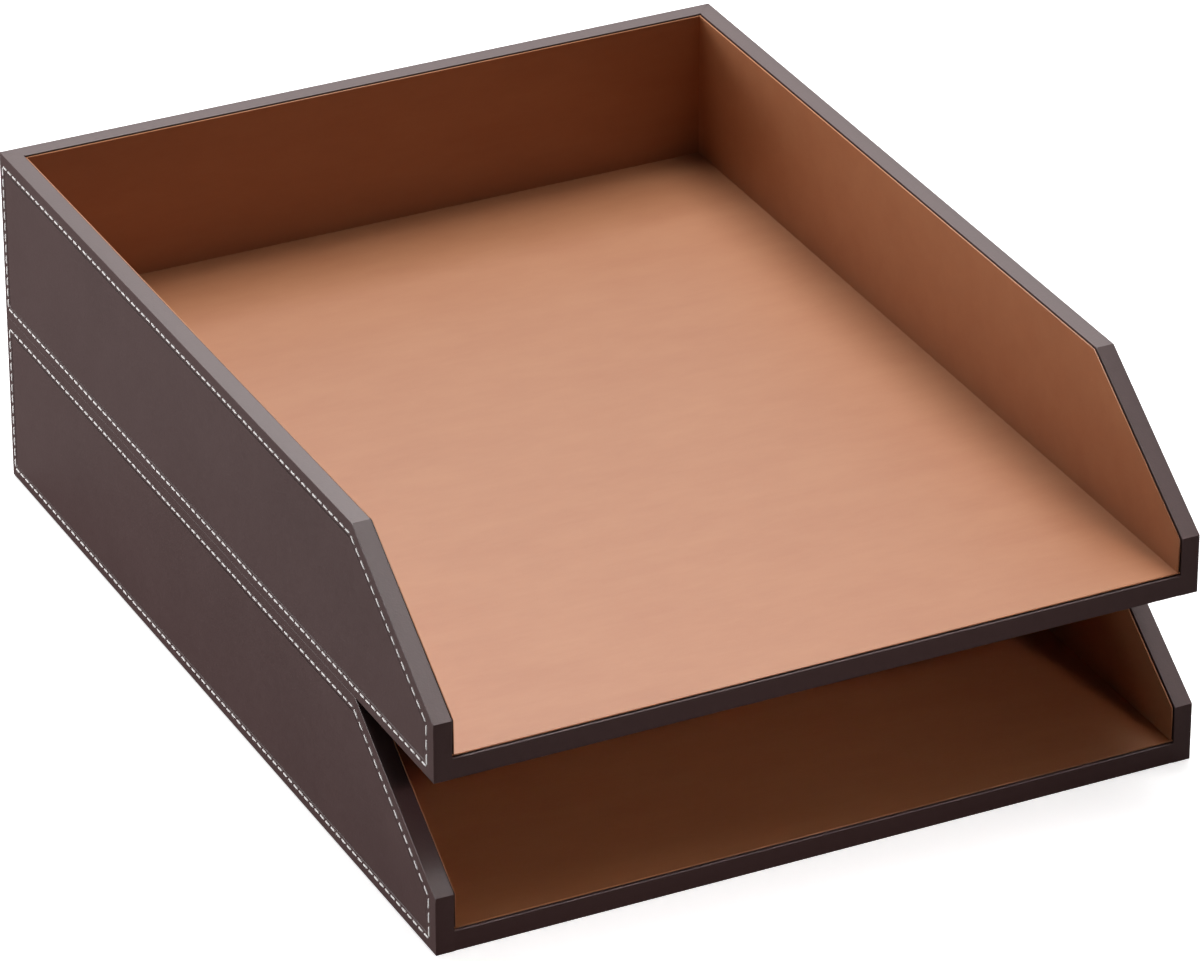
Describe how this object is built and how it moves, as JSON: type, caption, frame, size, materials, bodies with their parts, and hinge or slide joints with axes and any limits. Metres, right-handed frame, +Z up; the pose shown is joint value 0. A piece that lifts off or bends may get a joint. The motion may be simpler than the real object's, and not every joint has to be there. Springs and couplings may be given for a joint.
{
  "type": "letter tray",
  "caption": "Stacked open-front letter trays of board covered in dark stitched leather and lined in tan, with sides that slope down to the front; the upper tray lifts off.",
  "frame": {"origin": "middle of the footprint, on the surface that the lower tray's felt stands on", "axes": "+Z up, +Y from the open front to the back, +X to the right seen from the front"},
  "size_m": [0.2604, 0.3342, 0.1204],
  "materials": {
    "dark_leather": "smooth semi-matt",
    "tan_lining": "smooth matt",
    "board": "raw fibreboard",
    "thread": "waxed thread",
    "felt": "pressed felt",
    "nail_steel": "bright",
    "peg_steel": "bright",
    "sleeve_brass": "turned"
  },
  "bodies": {
    "lower_tray": {"lower_base_board": "board", "lower_left_board": "board", "lower_right_board": "board", "lower_back_board": "board", "lower_panel_nails": "nail_steel", "lower_left_cover": "dark_leather", "lower_right_cover": "dark_leather", "lower_back_cover": "dark_leather", "lower_front_cover": "dark_leather", "lower_floor_lining": "tan_lining", "lower_left_lining": "tan_lining", "lower_right_lining": "tan_lining", "lower_back_lining": "tan_lining", "lower_left_stitching": "thread", "lower_right_stitching": "thread", "lower_back_stitching": "thread", "lower_base_felt": "felt", "stacking_pegs": "peg_steel"},
    "upper_tray": {"upper_base_board": "board", "upper_left_board": "board", "upper_right_board": "board", "upper_back_board": "board", "upper_panel_nails": "nail_steel", "upper_left_cover": "dark_leather", "upper_right_cover": "dark_leather", "upper_back_cover": "dark_leather", "upper_front_cover": "dark_leather", "upper_floor_lining": "tan_lining", "upper_left_lining": "tan_lining", "upper_right_lining": "tan_lining", "upper_back_lining": "tan_lining", "upper_left_stitching": "thread", "upper_right_stitching": "thread", "upper_back_stitching": "thread", "upper_base_felt": "felt", "peg_sleeves": "sleeve_brass"}
  },
  "joints": [
    {"name": "upper_tray_lift", "type": "slide", "parent": "lower_tray", "child": "upper_tray", "axis": [0, 0, 1], "range_m": [0, 0.1]}
  ]
}
